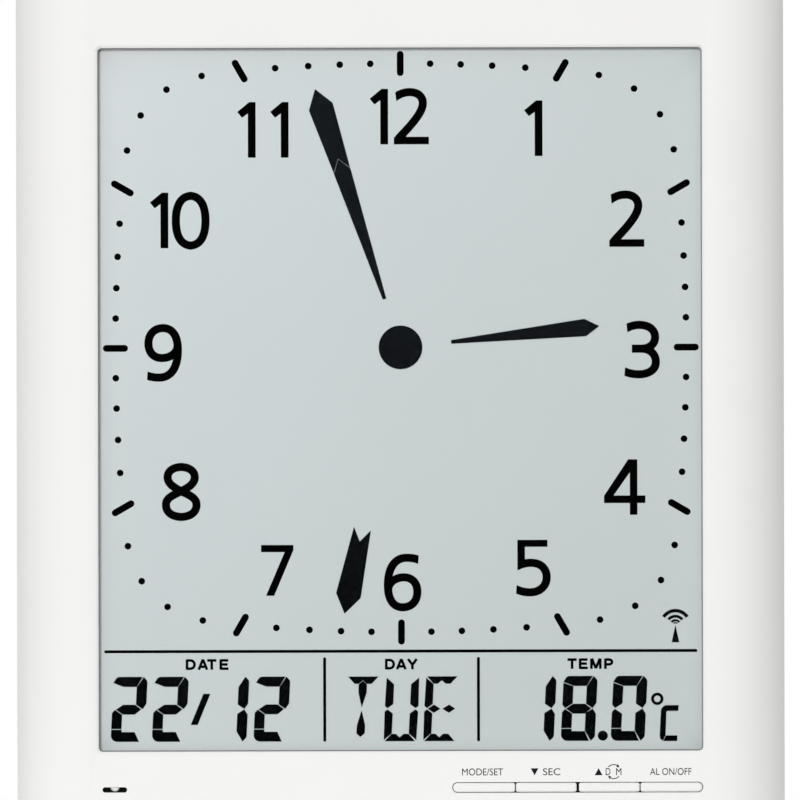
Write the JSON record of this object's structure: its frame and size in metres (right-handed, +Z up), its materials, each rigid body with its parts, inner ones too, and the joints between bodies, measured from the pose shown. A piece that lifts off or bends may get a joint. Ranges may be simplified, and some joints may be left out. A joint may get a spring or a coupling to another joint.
{
  "type": "radio-controlled wall clock",
  "caption": "Upright wall clock with arched white sides, a full-face liquid-crystal dial with segment hands, a date and temperature row, a slim button bank and a keyhole hanger.",
  "frame": {"origin": "mouth of the round hanging hole on the rear face", "axes": "+Z up, +Y towards the wall, +X to the right seen from the front, which faces -Y"},
  "size_m": [0.2314, 0.0295, 0.26],
  "materials": {
    "housing_white": "fine satin moulding",
    "cover_white": "fine matt texture",
    "button_white": "satin",
    "gasket_black": "matt foam",
    "window_clear": "anti-glare clear",
    "ink_black": "printed ink",
    "film_grey": "anti-glare polariser",
    "display_glass": "polished",
    "segment_dark": "switched-on liquid crystal",
    "seal_clear": "cured sealant",
    "reflector_grey": "brushed reflective film",
    "frame_ivory": "plain moulding",
    "elastomer": "matt",
    "screw_steel": "zinc plated",
    "board_green": "solder resist",
    "resin_black": "cured resin",
    "can_steel": "drawn can",
    "switch_black": "moulded",
    "plunger_grey": "moulded",
    "bead_pale": "dipped bead",
    "ferrite": "ground ferrite",
    "coil_copper": "enamelled wire",
    "plate_brass": "rolled",
    "piezo": "silvered ceramic",
    "cell_jacket": "plain printed jacket",
    "contact_nickel": "nickel plated",
    "lead_red": "insulated wire",
    "lead_black": "insulated wire",
    "lead_grey": "insulated wire"
  },
  "bodies": {
    "case": {"front_housing": "housing_white", "window_gasket": "gasket_black", "display_window": "window_clear", "dial_marks": "ink_black", "lcd_front_film": "film_grey", "lcd_front_glass": "display_glass", "lcd_seal": "seal_clear", "lcd_segments": "segment_dark", "lcd_rear_glass": "display_glass", "lcd_reflector": "reflector_grey", "lcd_frame": "frame_ivory", "lcd_connector_strips": "elastomer", "lcd_frame_screws": "screw_steel", "main_board": "board_green", "board_screws": "screw_steel", "controller_chip": "resin_black", "clock_crystal": "can_steel", "tact_switches": "switch_black", "temperature_sensor": "bead_pale", "ferrite_rod": "ferrite", "antenna_coil": "coil_copper", "antenna_leads": "coil_copper", "receiver_board": "board_green", "receiver_chip": "resin_black", "receiver_ribbon": "lead_grey", "buzzer_plate": "plate_brass", "buzzer_ceramic": "piezo", "buzzer_leads": "lead_black", "rear_cover": "cover_white", "batteries": "cell_jacket", "contact_plus": "contact_nickel", "contact_minus": "contact_nickel", "contact_link": "contact_nickel", "battery_lead_plus": "lead_red", "battery_lead_minus": "lead_black", "case_screws": "screw_steel"},
    "mode_button": {"button_mode": "button_white", "plunger_mode": "plunger_grey"},
    "down_button": {"button_down": "button_white", "plunger_down": "plunger_grey"},
    "up_button": {"button_up": "button_white", "plunger_up": "plunger_grey"},
    "alarm_button": {"button_alarm": "button_white", "plunger_alarm": "plunger_grey"},
    "battery_cover": {"battery_door": "cover_white"}
  },
  "joints": [
    {"name": "mode_press", "type": "slide", "parent": "case", "child": "mode_button", "axis": [0, 1, 0], "range_m": [0, 0.0006], "stiffness_N_per_m": 1500},
    {"name": "down_press", "type": "slide", "parent": "case", "child": "down_button", "axis": [0, 1, 0], "range_m": [0, 0.0006], "stiffness_N_per_m": 1500},
    {"name": "up_press", "type": "slide", "parent": "case", "child": "up_button", "axis": [0, 1, 0], "range_m": [0, 0.0006], "stiffness_N_per_m": 1500},
    {"name": "alarm_press", "type": "slide", "parent": "case", "child": "alarm_button", "axis": [0, 1, 0], "range_m": [0, 0.0006], "stiffness_N_per_m": 1500},
    {"name": "battery_door_hinge", "type": "hinge", "parent": "case", "child": "battery_cover", "pos_m": [0, -0.0012, -0.1145], "axis": [1, 0, 0], "range_deg": [0, 95]}
  ]
}
